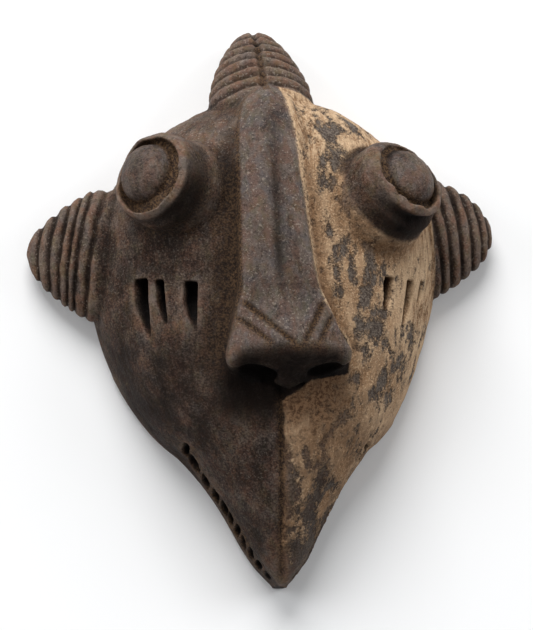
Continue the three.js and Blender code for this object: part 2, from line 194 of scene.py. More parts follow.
def smoothMax(a, b, blend):
    return -smoothMin(-a, -b, blend)


def turned(dx, dy, degrees):
    # a step seen in axes that are turned by some degrees
    turn = math.radians(degrees)
    return dx * math.cos(turn) + dy * math.sin(turn), -dx * math.sin(turn) + dy * math.cos(turn)


def inAxes(x, y, z, origin, axes):
    # a place seen from an origin, along three axes
    dx, dy, dz = x - origin[0], y - origin[1], z - origin[2]
    return [dx * axis[0] + dy * axis[1] + dz * axis[2] for axis in axes]


def betweenCorners(table, low, high, part):
    # the value in a cell, between the values at its eight corners
    total = 0
    for bits in np.ndindex(2, 2, 2):
        weight = 1
        for axis, bit in enumerate(bits):
            weight = weight * (part[..., axis] if bit else 1 - part[..., axis])
        i, j, k = ((high if bit else low)[..., axis] for axis, bit in enumerate(bits))
        total = total + weight * table[i, j, k]
    return total


class Noise:
    # smooth noise of about -1 to 1, off a small table that repeats
    def __init__(self, seed, size=48):
        self.size = size
        self.table = np.random.RandomState(seed).uniform(-1, 1, (size, size, size)).astype(np.float32)

    def one(self, points):
        base = np.floor(points)
        part = points - base
        index = base.astype(np.int64) % self.size
        return betweenCorners(self.table, index, (index + 1) % self.size, part * part * (3 - 2 * part))

    def many(self, points, size, octaves=3, stretch=(1, 1, 1)):
        points = points / (size * np.array(stretch))
        total, weight = 0, 1
        for i in range(octaves):
            total = total + weight * self.one(points * 2 ** i + 7.3 * i)  # each finer layer lies elsewhere
            weight *= 0.5
        return total


crustNoise, hornNoise, paleNoise, reliefNoise, heldNoise = (Noise(seed) for seed in (17, 11, 21, 31, 47))


def wobble(angle, seed, waves=9):
    # an uneven ring: waves round a circle, about -1 to 1
    rng = np.random.RandomState(seed)
    total = 0
    for wave in range(1, waves + 1):
        total = total + rng.uniform(0.4, 1) / math.sqrt(wave) * np.sin(wave * angle + rng.uniform(0, 6.3))
    return total / 2.2


# the solid is worked out as distances to its surface, on a block of points
block = {"low": (-54, -61.5, -1.4), "high": (52.6, 65.2, 39), "step": 0.36, "quickStep": 0.6}
step = block["step"]
lines = [np.arange(block["low"][i], block["high"][i], step, dtype=np.float32) for i in range(3)]
gridX, gridY, gridZ = lines[0][:, None, None], lines[1][None, :, None], lines[2][None, None, :]


def region(low, high):
    spans = []
    for axis in range(3):
        start = max(0, int((low[axis] - block["low"][axis]) / step))
        stop = min(len(lines[axis]), int((high[axis] - block["low"][axis]) / step) + 2)
        spans.append(slice(start, stop))
    a, b, c = spans
    return (a, b, c), gridX[a], gridY[:, b], gridZ[:, :, c]


def asDistance(values, most=1e9):
    gx, gy, gz = np.gradient(values, step)
    return values / np.clip(np.sqrt(gx * gx + gy * gy + gz * gz), 0.02, most)


def headField(x, y, z):
    field = asDistance((headShape(x, y, z) - 1).astype(np.float32), 0.4)
    return np.maximum(field, np.maximum(y - head["topY"], head["tipY"] - y))


hollow = {"fromY": -30, "toY": 38, "middleY": 9, "half": 29.5, "depth": 18.5, "pinch": 0.28}


def hollowField(x, y, z):
    down = y < hollow["middleY"]
    run = np.where(down, hollow["middleY"] - hollow["fromY"], hollow["toY"] - hollow["middleY"])
    along = (y - hollow["middleY"]) / run
    half = hollow["half"] * np.where(down, 1 + hollow["pinch"] * np.clip(along, -1, 0), 1)
    field = np.sqrt(((x - middle(y)) / half) ** 2 + along ** 2 + (z / hollow["depth"]) ** 2) - 1
    return asDistance(field.astype(np.float32))


def noseField(x, y, z):
    half = noseHalf(y)
    side = unit(np.abs(x - noseMiddle(y)) / half)
    front = noseFront(x, y)
    depth = unit((front - z) / nose["foot"])
    flank = np.abs(x - noseMiddle(y)) - (half + nose["flare"] * depth * (1 - 2 * noseWing(y)))
    under = np.minimum(1, depth * nose["foot"] / nose["underDepth"])
    under = under * (1 - nose["underRound"] * side ** nose["underCurve"])
    base = nose["tipY"] - nose["wingRun"] * side ** nose["wingRunCurve"] - under * nose["underRun"] - y
    # the factors bring the sloping faces near to true distances
    field = smoothMax((z - front) * 0.97, flank * 0.85, nose["edge"])
    field = smoothMax(field, base * 0.8, nose["tipEdge"])
    return smoothMax(field, y - nose["topY"], 1)


def nostrilField(x, y, z, hole):
    dx, dy = x - noseMiddle(nose["tipY"]) - hole["side"] * hole["x"], y - hole["y"]
    u, v = turned(dx, dy, hole["side"] * nose["nostrilTurn"])
    w = z - nose["nostrilZ"]
    field = np.sqrt((u / hole["long"]) ** 2 + (v / hole["wide"]) ** 2 + (w / nose["nostrilDeep"]) ** 2) - 0.5
    return asDistance(field.astype(np.float32))


eye = {
    "left": {"base": (-20.7, 25.4, 21), "tilt": -45, "lean": 11, "stalk": 9.3, "open": 150,
             "openDrop": 0.9, "seed": 3, "bevel": 0.6, "pupil": 6.5, "pupilHeight": 5, "shift": (-1.2, 0.8),
             "undercut": 0.4, "fill": 0.8, "fillAt": -50, "slope": 0.8, "darkAt": -35},
    "right": {"base": (23.5, 22.3, 20.7), "tilt": 37, "lean": 24, "stalk": 8.9, "open": 25,
              "openDrop": 0.3, "seed": 8, "bevel": 0.35, "pupil": 6.6, "pupilHeight": 4.4, "shift": (1.2, 1),
              "undercut": 1.6, "fill": 1.3, "fillAt": 120, "slope": 1.6, "darkAt": -95},
    "flare": 0.6,  # how much wider a stalk is at its foot
    "slopeRun": 3.2,  # how far down a collar goes on widening
    "neckHeight": 2.4, "height": 9.6, "wall": 0.9, "moat": 2.2, "sunk": 9,
    "undercutAt": (-80, 6.6, 2),  # angle, height and half width of the hollow under the collar
    "chips": 0.55, "rimUneven": 0.2, "wallUneven": 0.3,  # how ragged the collar is
    "crust": 0.35, "crustSize": 1.8,  # lumps in the moat, and their size
    "headBlend": 1.4,  # where the stalk runs into the head
}


def eyeAxes(which):
    tilt, lean = math.radians(which["tilt"]), math.radians(which["lean"])
    along = Vector((math.sin(tilt) * math.cos(lean), math.sin(lean), math.cos(tilt) * math.cos(lean)))
    across = Vector((math.cos(tilt), 0, -math.sin(tilt)))
    return across, along.cross(across), along


def eyePlace(x, y, z, which):
    return inAxes(x, y, z, which["base"], eyeAxes(which))


def eyeField(x, y, z, which):
    across, beside, rise = eyePlace(x, y, z, which)
    away = np.sqrt(across ** 2 + beside ** 2)
    angle = np.arctan2(beside, across)
    seed, opened = which["seed"], math.radians(which["open"])
    rim = which["stalk"] + eye["rimUneven"] * wobble(angle, seed, 5)
    inner = rim - eye["wall"] - eye["wallUneven"] * wobble(angle, seed + 2, 11)
    reach = rim + eye["flare"] * fade(eye["neckHeight"], 0, rise)
    reach = reach + which["slope"] * fade(eye["height"], eye["height"] - eye["slopeRun"], rise)
    cutAngle, cutRise, cutHalf = eye["undercutAt"]
    below = unit(np.cos(angle - math.radians(cutAngle))) ** 2
    undercut = (which["undercut"] + which["slope"] / 2) * below
    reach = reach - undercut * fade(cutHalf, 0, np.abs(rise - cutRise))
    top = eye["height"] + eye["chips"] * (wobble(angle, seed + 1, 18) - 0.3)
    top = top - which["openDrop"] * unit(np.cos(angle - opened)) ** 3
    top = top - which["bevel"] * fade(inner + 0.3, rim, away)
    stalk = smoothMax(away - reach, rise - top, 0.5)
    stalk = np.maximum(stalk, -eye["sunk"] - rise)
    points = np.stack(np.broadcast_arrays(across, beside, rise), -1)
    # dirt fills a part of the moat
    filled = which["fill"] * unit(np.cos(angle - math.radians(which["fillAt"])))
    base = eye["height"] - eye["moat"]
    bottom = base + filled + eye["crust"] * crustNoise.many(points, eye["crustSize"], 2)
    moat = smoothMax(away - inner, bottom - rise, 0.6)
    stalk = smoothMax(stalk, -moat, 0.25)
    px, py = across - which["shift"][0], beside - which["shift"][1]
    pupil = (px ** 2 + py ** 2) / which["pupil"] ** 2 + ((rise - base) / which["pupilHeight"]) ** 2
    pupil = asDistance((np.sqrt(pupil) - 1).astype(np.float32))
    pupil = np.maximum(pupil, base - 1 - rise)
    return smoothMin(stalk, pupil, 0.25)


horns = {
    "sunk": 7,
    "top": {"root": (-0.4, 45, 9.6), "turn": 2, "back": 20, "half": 11.5, "thick": 0.76, "length": 19.9,
            "taper": (1.5, 0.55), "blend": 0.7, "rings": (-0.2, 2.5, 5.3, 8, 10.6, 13.2, 15.6), "deep": 0.75,
            "share": 0.85, "slant": 0, "bow": 1.6, "uneven": 0.3, "foot": -1.4, "edgeDeep": 0.25},
    "left": {"root": (-38, 14.1, 4.6), "turn": 88, "back": 3, "half": 14.3, "thick": 0.5, "length": 14,
             "taper": (1, 0.5), "blend": 0.5, "rings": (-0.9, 2.1, 3.8, 5.9, 8.3, 10.9), "deep": 1.1,
             "share": 0.72, "slant": 0.17, "bow": 1.1, "uneven": 0.22, "foot": -1.6, "edgeDeep": 0.5},
    "right": {"root": (36.4, 17.2, 4.6), "turn": -86, "back": 3, "half": 13.8, "thick": 0.52, "length": 14,
              "taper": (1, 0.44), "blend": 0.5, "rings": (-0.2, 2.4, 5.4, 8.1, 10.6, 12.6), "deep": 1.1,
              "share": 0.72, "slant": -0.1, "bow": 0.3, "uneven": 0.22, "foot": -1.2, "edgeDeep": 0.5},
    "beforeRings": 2.6, "afterRings": 2.2,  # the rib before the first groove, and the one after the last
    "bulges": (0.3, 9),  # how far the outline bulges, and the size of the bulges
    "ringSize": 3.2, "wearSize": 5,
    "splitWide": 1.2, "splitDeep": 0.9,  # the groove down the middle of the top horn
}


def hornAxes(which):
    turn, back = math.radians(which["turn"]), math.radians(which["back"])
    swing = Matrix.Rotation(turn, 3, "Z") @ Matrix.Rotation(-back, 3, "X")
    return swing.col[0], swing.col[1], swing.col[2]


def ringCut(along, which):
    # 1 in the middle of each groove between the ribs and 0 on the ribs
    places = np.array(which["rings"])
    gaps = np.diff(np.concatenate(((places[0] - horns["beforeRings"],), places,
                                   (places[-1] + horns["afterRings"],))))
    cut = 0
    for i, place in enumerate(places):
        near = np.where(along < place, gaps[i], gaps[i + 1]) * which["share"] / 2
        cut = np.maximum(cut, 1 - np.abs(along - place) / near)
    return fade(0, 1, cut)


def hornPlace(x, y, z, which):
    return inAxes(x, y, z, which["root"], hornAxes(which))


def hornRings(across, along, front, which):
    # its radius, how much a place faces front, and how deep it lies in a groove between the ribs
    points = np.stack((across, along, front), -1)
    bulge, bulgeSize = horns["bulges"]
    share = (along + bulge * hornNoise.many(points, bulgeSize, 2)) / which["length"]
    radius = which["half"] * (1 - unit(share) ** which["taper"][0]) ** which["taper"][1]
    radius = np.where(share > 1, -2 * (share - 1) * which["length"], radius)
    facing = unit(front / (which["thick"] * np.maximum(radius, 0.5)))
    ringAt = along + which["slant"] * across * (1 - unit(share)) - which["bow"] * facing ** 2
    ringAt = ringAt + which["uneven"] * hornNoise.many(points, horns["ringSize"], 2)
    return radius, facing, ringCut(ringAt, which)


def hornField(x, y, z, which):
    across, along, front = hornPlace(x, y, z, which)
    radius, facing, cut = hornRings(across, along, front, which)
    field = np.sqrt(across ** 2 + (front / which["thick"]) ** 2) - radius
    field = asDistance(field.astype(np.float32), 1.7)
    points = np.stack((across, along, front), -1)
    deep = which["edgeDeep"] + (1 - which["edgeDeep"]) * facing
    deep = which["deep"] * deep * (1 + 0.3 * hornNoise.many(points, horns["wearSize"], 2))
    field = field + deep * cut
    if which is horns["top"]:
        wander = 0.3 * hornNoise.many(points * (0, 1, 0), horns["wearSize"], 2)
        line = np.abs(across - wander) / horns["splitWide"]
        field = field + horns["splitDeep"] * fade(1, 0, line) * (front > 0)
    return np.maximum(field, -horns["sunk"] - along)


# the groove down the middle of the beak
midline = {"topX": -0.5, "fromY": -17, "toY": -57, "wide": 1.9, "deep": 0.75}
# from and to of the grooves across the wings of the nose
chevrons = (
    ((-8.4, -1.3), (2.1, -11.3)), ((-9.8, -4.4), (-3.4, -10.2)),
    ((8.4, -1.5), (3.5, -10.9)), ((10.2, -4.1), (6.6, -10.9)),
)
chevronWide = 1.7
chevronDeep = 0.8
# the shallow groove down the middle of the nose: x and y
crease = ((-0.2, 40), (-0.4, 30), (-0.75, 2.5), (0.9, -6.5))
creaseWide = 2.8
creaseDeep = 0.8


def grooveField(x, y, z, start, end, wide, deep, surface, taper=1.5):
    # a rounded V cut along a line on a surface given by its height
    run = np.array(end, float) - np.array(start, float)
    length = np.hypot(*run)
    run = run / length
    dx, dy = x - start[0], y - start[1]
    along = dx * run[0] + dy * run[1]
    off = np.abs(dx * run[1] - dy * run[0])
    ends = unit(np.minimum(along, length - along) / taper + 0.2)
    floor = surface - deep * ends * np.clip(1 - off / (wide / 2), -1, 1)
    return np.maximum((floor - z) * 0.7, z - surface - 1.5)


# x, y, length, width and turn in degrees of the notches on the cheeks
notches = (
    (-28.7, -0.4, 13.4, 3.5, -1.2), (-24.9, 0.5, 10.2, 2, -2.3), (-18.9, -0.8, 11.1, 3.2, 3),
    (24.2, 1.4, 8.4, 2.7, 2), (28.8, 0, 11.2, 2.6, 6), (32, 2.9, 6, 1.3, 6),
)
notchDepth = 4.2
notchTaper = (0.92, 1.6, 1.3)  # how much, how far up and how roundly the outer wall closes at the foot
notchShelve = 0.18  # how the outer wall leans


def notchField(x, y, z, spot):
    px, py, length, wide, turn = spot
    reach = 0.5
    slopeX = (faceHeight(px + reach, py) - faceHeight(px - reach, py)) / (2 * reach)
    slopeY = (faceHeight(px, py + reach) - faceHeight(px, py - reach)) / (2 * reach)
    out = Vector((-slopeX, -slopeY, 1)).normalized()
    spin = math.radians(-turn)
    tilt = Vector((0, 0, 1)).rotation_difference(out).to_matrix() @ Matrix.Rotation(spin, 3, "Z")
    u, v, w = inAxes(x, y, z, (px, py, float(faceHeight(px, py))), tilt.col)
    share = v / length + 0.5  # 0 at the lower end
    inward = 1 if px < 0 else -1  # the straight wall is the one towards the nose
    closing, upTo, curve = notchTaper
    outer = wide * (0.5 - closing * (1 - unit(share * upTo)) ** curve)
    wall = np.maximum(u * inward - wide / 2, -u * inward - outer - notchShelve * np.minimum(w, 0))
    floor = -notchDepth * np.clip(share * upTo, 0.02, 1) ** 0.8
    ends = np.maximum(v - length / 2, -length / 2 - v)
    return smoothMax(smoothMax(wall, ends, 0.8), floor - w, 0.5)


mouth = {
    "fromY": -29.3, "toY": -57.9,
    # the gaps between the teeth: shares of the way along the mouth, and lengths
    "slots": ((0.045, 1.7), (0.132, 2.9), (0.262, 2.6), (0.366, 2.1), (0.458, 2.3), (0.53, 1.8),
              (0.615, 2), (0.695, 2.1), (0.776, 1.7), (0.866, 1.8), (0.95, 1.6)),
    "lean": (0.1, 0.6),  # the least and the most that a slot leans
    "shiftZ": 0.3, "halfShare": (0.46, 0.56), "riseShare": (0.38, 0.5),
    "tipRise": 0.45,  # how much lower the slots are at the tip
    "lowZ": 2.6, "highZ": 8.2,
    "cornerRise": 5.2, "cornerRun": 0.27,  # how much higher the mouth starts at its corner
    "depth": 4.2, "tipDepth": 1.6, "recess": 0.35,
}


def slotHeight(share):
    rise = mouth["cornerRise"] * unit(1 - share / mouth["cornerRun"])
    return (mouth["lowZ"] + mouth["highZ"]) / 2 + rise


def slotPlaces():
    # the middle, the direction, the share of the way and the length of each slot of the mouth
    y = np.linspace(mouth["fromY"], mouth["toY"], 400)
    for side in (-1, 1):
        edge = np.column_stack((middle(y) + side * halfWidth(y), y))
        lengths = np.concatenate(((0,), np.cumsum(np.hypot(*np.diff(edge, axis=0).T))))
        for share, long in mouth["slots"]:
            at = share * lengths[-1]
            place, ahead, behind = (np.array([np.interp(at + off, lengths, edge[:, k]) for k in (0, 1)])
                                    for off in (0, 0.3, -0.3))
            run = (ahead - behind) / np.hypot(*(ahead - behind))
            yield place, run, share, long


def buildSolid():
    print("carving the head")
    field = headField(gridX, gridY, gridZ)
    recess = mouth["recess"] * fade(mouth["highZ"] + 0.9, mouth["highZ"] + 0.4, gridZ)
    field = field + recess * fade(mouth["fromY"] + 1.5, mouth["fromY"] - 1, gridY)
    for key in ("top", "left", "right"):
        which = horns[key]
        root, reach = which["root"], which["half"] + which["length"] + 2
        spans, x, y, z = region([c - reach for c in root], [c + reach for c in root])
        field[spans] = smoothMin(field[spans], hornField(x, y, z, which), which["blend"])
    print("nose and eyes")
    spans, x, y, z = region((-20, -28, 6), (21, 53, 39))
    field[spans] = smoothMin(field[spans], noseField(x, y, z), nose["fillet"])
    for which in (eye["left"], eye["right"]):
        base, reach = which["base"], 19
        spans, x, y, z = region([c - reach for c in base], [c + reach for c in base])
        field[spans] = smoothMin(field[spans], eyeField(x, y, z, which), eye["headBlend"])
    print("cuts")

    def cutAway(low, high, shape, blend):
        spans, x, y, z = region(low, high)
        field[spans] = smoothMax(field[spans], -shape(x, y, z), blend)

    for hole in nose["nostrils"]:
        cutAway((-18, -25, 18), (19, -6, 36), lambda x, y, z: nostrilField(x, y, z, hole), 0.8)
    for start, end in chevrons:
        low = [min(start[i], end[i]) - 2 for i in (0, 1)] + [26]
        high = [max(start[i], end[i]) + 2 for i in (0, 1)] + [38.5]
        cutAway(low, high, lambda x, y, z: grooveField(x, y, z, start, end, chevronWide, chevronDeep,
                                                       noseFront(x, y)), 0.2)

    def creaseField(x, y, z):
        deep = creaseDeep * fade(crease[0][1], 22, y) * fade(crease[-1][1], 5, y)
        return grooveField(x, y, z, start, end, creaseWide, deep, noseFront(x, y), 0.2)

    for start, end in zip(crease, crease[1:]):
        cutAway((-4, end[1] - 1, 18), (4, start[1] + 1, 38.5), creaseField, 0.4)
    top, tip = (midline["topX"], midline["fromY"]), (0, midline["toY"])
    cutAway((-4, tip[1] - 3, 4), (4, top[1] + 3, 30), lambda x, y, z: grooveField(
        x, y, z, top, tip, midline["wide"], midline["deep"], faceHeight(x, y)), 0.4)
    for spot in notches:
        cutAway((spot[0] - 9, spot[1] - 10, 4), (spot[0] + 9, spot[1] + 10, 34),
                lambda x, y, z: notchField(x, y, z, spot), 0.35)
    rng = np.random.RandomState(5)
    for place, run, share, long in slotPlaces():
        lean = rng.uniform(*mouth["lean"])
        middleZ = slotHeight(share)
        shiftZ = rng.uniform(-mouth["shiftZ"], mouth["shiftZ"])
        depth = mouth["depth"] + (mouth["tipDepth"] - mouth["depth"]) * share ** 2
        half = long * rng.uniform(*mouth["halfShare"])
        rise = (mouth["highZ"] - mouth["lowZ"]) * rng.uniform(*mouth["riseShare"])
        rise = rise * (1 - mouth["tipRise"] * share ** 2)

        def slotField(x, y, z):
            dx, dy, dz = x - place[0], y - place[1], z - middleZ - shiftZ
            along = dx * run[0] + dy * run[1] + dz * lean
            inward = np.abs(dx * -run[1] + dy * run[0])
            slot = smoothMax(np.abs(along) - half, np.abs(dz) - rise, 1.2)
            return smoothMax(slot, inward - depth, 0.8)

        cutAway((place[0] - 7, place[1] - 7, 0), (place[0] + 7, place[1] + 7, 18), slotField, 0.3)
    print("hollow and back")
    inside = hollowField(gridX, gridY, gridZ)
    field = smoothMax(field, -inside, 0.8)
    field = smoothMax(field, -gridZ, 0.5)
    return field.astype(np.float32), inside


def meshFrom(field):
    volume = openvdb.FloatGrid(4.0)
    volume.copyFromArray(np.ascontiguousarray(np.clip(field, -4, 4)))
    points, quads = volume.convertToQuads(isovalue=0)
    points = np.asarray(points, float) * step + np.array(block["low"])
    quads = np.asarray(quads)
    a, b, c, d = (points[quads[:, k]] for k in range(4))
    volumeSign = np.einsum("ij,ij->", (a + b + c + d) / 4, np.cross(c - a, d - b))
    return points, quads if volumeSign > 0 else quads[:, ::-1]


field, insideField = buildSolid()
points, quads = meshFrom(field)
print("points", len(points))

# from the carving's place to the solid's: the tips of the left horn and the beak meet its box
boxLow = Vector(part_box("mask")[0]) * 1000
leftTip = horns["left"]["root"][0] - horns["left"]["length"]
shift = np.array((boxLow.x - leftTip, boxLow.y - head["tipY"], 0))


def blurred(values, radius):
    # a box blur three times over, which comes close to a round one
    half = max(1, int(round(radius / step)))
    for _ in range(3):
        for axis in range(3):
            edges = [(half + 1, half) if k == axis else (0, 0) for k in range(3)]
            total = np.cumsum(np.pad(values, edges, mode="edge"), axis=axis, dtype=np.float32)
            low, high = [slice(None)] * 3, [slice(None)] * 3
            low[axis] = slice(0, values.shape[axis])
            high[axis] = slice(2 * half + 1, 2 * half + 1 + values.shape[axis])
            values = (total[tuple(high)] - total[tuple(low)]) / (2 * half + 1)
    return values


def sample(values, at):
    place = (at - np.array(block["low"])) / step
    place = np.clip(place, 0, np.array(values.shape) - 1.001)
    base = np.floor(place).astype(int)
    return betweenCorners(values, base, base + 1, place - base)


# how much wood lies round a place, near to it and farther off: less than half on edges, more in corners
full = unit(0.5 - field / step)
fullNear, fullWide, fullBroad = (blurred(full, radius) for radius in (0.55, 1.7, 4.5))

# where the pale pigment starts, from the forehead down to the beak: y and x
paleEdge = ((-60, 0.4), (-21, 0.3), (-17, 6), (-15.5, 14.4), (-11.5, 14.6), (-8.4, 13.9), (-5.1, 11.3),
            (-1.4, 8.8), (3.8, 7.5), (14.7, 6.5), (25.9, 5.6), (38.9, 4.5), (43.6, 3.4), (49, 2))
# the places below are pixels of the photograph, half sizes in millimetres and turns in degrees
# bare places in the pigment
barePlaces = (
    (328, 132, 2.6, 3.2, 35), (340, 150, 1, 1.2, 0), (322, 160, 1, 2.4, 0), (336, 165, 1.3, 2.4, 0),
    (329, 182, 2.2, 1.8, 20), (352, 128, 0.9, 3, 40), (345, 206, 1.1, 2.4, 20), (329, 231, 0.9, 2.8, 0),
    (345, 247, 1.5, 2.2, 0), (336, 268, 1.4, 3.6, -8), (342, 291, 0.8, 1.4, 0), (371, 262, 1.6, 4.4, 0),
    (366, 297, 1.3, 3.4, -25), (358, 322, 1, 2.4, -10), (374, 328, 1.6, 2.8, -15), (382, 314, 1, 1.2, 0),
    (366, 350, 0.9, 1.9, 0), (387, 343, 1, 1.6, 0), (411, 334, 1.3, 2.8, -30), (396, 366, 1.7, 2.8, -25),
    (381, 380, 1.3, 3.4, -15), (355, 378, 0.8, 0.9, 0), (374, 396, 1.5, 2.2, 0),
    (388, 399, 1, 2, -20), (334, 428, 0.7, 5, -38), (306, 455, 0.9, 2.8, 8), (332, 485, 0.9, 1.8, -20),
    (315, 495, 1, 3, -12), (290, 478, 1.8, 7, 0), (300, 545, 3, 9, -20), (383, 272, 0.9, 2, 0),
    (352, 274, 1.1, 1.6, 0),
)
# pale traces that are left on the dark part of the beak
paleTraces = ((298, 430, 1.6, 6, 6), (308, 487, 1.7, 2.2, 0), (304, 530, 1.8, 3, 0), (325, 500, 1, 4, -25),
              (342, 470, 2.4, 2.8, 0))


def atPixel(px, py, height):
    # the point of the carving at a height over the floor that the camera sees at a pixel
    back, right, up = cameraAxes()
    offX = (px - view["targetPixel"][0]) / view["scale"]
    offY = (view["targetPixel"][1] - py) / view["scale"]
    eyeAt = Vector(view["target"]) + back * view["distance"]
    ray = (Vector(view["target"]) + right * offX + up * offY) - eyeAt
    return eyeAt + ray * ((height - eyeAt.z) / ray.z)


def onFace(px, py):
    height = 20  # a first guess, brought nearer by each try
    for _ in range(12):
        spot = atPixel(px, py, height)
        height = 0.5 * height + 0.5 * float(faceHeight(spot.x, spot.y))
    return spot


def nearPlaces(at, places):
    # 1 in the middle of the nearest place, falling off evenly outwards
    best = np.zeros(len(at))
    for px, py, halfX, halfY, turn in places:
        spot = onFace(px, py)
        dx, dy = at[:, 0] - spot.x, at[:, 1] - spot.y
        u, v = turned(dx, dy, turn)
        best = np.maximum(best, np.exp(-0.9 * ((u / halfX) ** 2 + (v / halfY) ** 2)))
    return best


def paleSide(at):
    # how far a point lies into the pale half, from the pigment's edge
    edge = np.array(paleEdge)
    return at[:, 0] - np.interp(at[:, 1], edge[:, 0], edge[:, 1])


def onHorn(at, which, strength):
    # where a horn is, and how deep in the grooves between its ribs
    across, along, front = hornPlace(*at.T, which)
    _, facing, cut = hornRings(across, along, front, which)
    reach = np.hypot(across, front / which["thick"])
    foot = which["foot"] + which["bow"] * facing ** 2
    here = fade(foot - 0.3, foot + 0.3, along) * (reach < which["half"] + 1.5)
    return here, strength * here * cut * (front > -2)


def onHorns(at):
    return np.max([onHorn(at, horns[key], strength)
                   for key, strength in (("top", 0.7), ("left", 1), ("right", 1))], axis=0)


def onEye(at, which):
    # the eye, its pupil, the moat, the corner at the foot, and the shade under the collar
    across, beside, rise = eyePlace(*at.T, which)
    reach, angle = np.hypot(across, beside), np.arctan2(beside, across)
    foot, top = which["stalk"] + which["slope"] + eye["flare"], eye["height"]
    found = fade(0.1, 1.4, rise) * fade(foot + 1.6, foot + 0.4, reach)
    fromPupil = np.hypot(across - which["shift"][0], beside - which["shift"][1])
    above = rise > top - eye["moat"] - 1
    pupil = fade(which["pupil"] + 0.1, which["pupil"] - 0.5, fromPupil) * above
    wall = which["stalk"] - eye["wall"]
    moat = fade(wall + 0.3, wall - 0.2, reach) * above * (1 - pupil) * fade(top + 0.2, top - 0.5, rise)
    atFoot = fade(2.4, -0.3, reach - foot) * fade(6, 1, rise)
    shade = unit(np.cos(angle - math.radians(which["darkAt"]))) ** 1.5 * (reach > 6)
    shade = shade * fade(-3, 4, rise) * fade(top - 0.8, top - 2, rise) * fade(foot + 2.5, foot, reach)
    return found, pupil, moat, atFoot, shade


def onEyes(at):
    return np.max([onEye(at, eye[key]) for key in ("left", "right")], axis=0)


def nearLine(at, start, end, wide):
    # 1 on a line on the face, falling off to both sides
    start, run = np.array(start, float), np.array(end, float) - np.array(start, float)
    away = at[:, :2] - start
    share = unit(away @ run / (run @ run))
    gap = np.hypot(*(away - share[:, None] * run).T)
    return np.exp(-(gap / wide) ** 2)


pigment = {
    "ragged": (0.3, 0.8),  # how far its edge wanders beside the nose and on the beak
    "edgeSize": 2.5,
    "hold": 0.55,
    "coarse": (0.36, 2),  # how strongly it is worn away in patches, and their size
    "fine": (0.5, 0.8),
    "middleWear": (0.16, 12, 7),  # how much, how far from its edge and over what width
    "tipWear": 0.5,
    "bareStrength": 0.9,
    "traceStrength": 0.75,
}


def paleShare(at):
    least, most = pigment["ragged"]
    ragged = least + (most - least) * fade(-14, -24, at[:, 1])
    side = paleSide(at) + ragged * paleNoise.many(at, pigment["edgeSize"], 3, (1, 1.6, 1))
    other = np.maximum(onHorns(at)[0], onEyes(at)[0])
    return fade(-0.2, 0.3, side) * (1 - other) * fade(0.4, 2.5, at[:, 2])


def pigmentHeld(at):
    # above 0 the pigment covers the wood, below 0 it is worn away
    (coarse, coarseSize), (fine, fineSize) = pigment["coarse"], pigment["fine"]
    grain = coarse * heldNoise.many(at, coarseSize, 2, (1, 2.2, 1))
    grain = grain + fine * heldNoise.many(at, fineSize, 2, (1, 1.6, 1))
    wear, wearAt, wearRun = pigment["middleWear"]
    middleWear = wear * np.exp(-((paleSide(at) - wearAt) / wearRun) ** 2)
    tipWear = pigment["tipWear"] * fade(-20, -52, at[:, 1])
    held = pigment["hold"] + grain - middleWear - tipWear
    held = held - pigment["bareStrength"] * nearPlaces(at, barePlaces)
    return held + pigment["traceStrength"] * nearPlaces(at, paleTraces)


relief = {
    "facet": 0.24, "facetSize": 8,  # the uneven surface a knife leaves
    "dent": 0.1, "dentSize": 2.6,
    "fibre": 0.06, "fibreSize": 0.9,
    "crust": 0.14,  # how thick the pigment lies
    "dirt": 0.3, "dirtSize": 0.9, "cornerFrom": 0.58,  # lumps of dirt in the corners
    "insideMarks": 0.35, "insideSize": 4.5,
}


def carveRelief(points, normals):
    noise = reliefNoise
    low = relief["facet"] * noise.many(points, relief["facetSize"], 2)
    dents = relief["dent"] * noise.many(points, relief["dentSize"], 3, (1, 1.5, 1))
    fibres = relief["fibre"] * noise.many(points, relief["fibreSize"], 2, (1, 8, 1))
    crust = relief["crust"] * paleShare(points) * fade(-0.1, 0.14, pigmentHeld(points))
    deep = unit((sample(fullNear, points) - relief["cornerFrom"]) * 5)
    dirt = relief["dirt"] * deep * noise.many(points, relief["dirtSize"], 2)
    inside = fade(0.6, 0, sample(insideField, points))
    marks = relief["insideMarks"] * noise.many(points, relief["insideSize"], 2, (1, 2.2, 1))
    height = (low + dents + fibres + crust + dirt) * (1 - inside) + marks * inside
    height = height * fade(0.3, 1.6, points[:, 2])  # the rim stays flat
    return points + normals * height[:, None]


triangleLimit = 196000


def placed(name, data):
    made = bpy.data.objects.new(name, data)
    bpy.context.collection.objects.link(made)
    return made


def buildMask():
    mesh = bpy.data.meshes.new("carvedMask")
    mesh.from_pydata((points / 1000).tolist(), [], quads.tolist())
    mesh.update()
    normals = np.empty(len(points) * 3, np.float32)
    mesh.vertex_normals.foreach_get("vector", normals)
    moved = carveRelief(points, normals.reshape(-1, 3))
    mesh.vertices.foreach_set("co", (moved / 1000).astype(np.float32).ravel())
    mesh.update()
    piece = placed("carvedMask", mesh)
    triangles = 2 * len(quads)
    if triangles > triangleLimit:
        thin = piece.modifiers.new("thin", "DECIMATE")
        thin.ratio = triangleLimit / triangles
        thin.use_collapse_triangulate = True
        graph = bpy.context.evaluated_depsgraph_get()
        lighter = bpy.data.meshes.new_from_object(piece.evaluated_get(graph))
        piece.modifiers.clear()
        piece.data = lighter
        bpy.data.meshes.remove(mesh)
        mesh = lighter
        mesh.name = "carvedMask"
    mesh.shade_smooth()
    print("triangles", sum(len(p.vertices) - 2 for p in mesh.polygons))
    return piece


mask = buildMask()

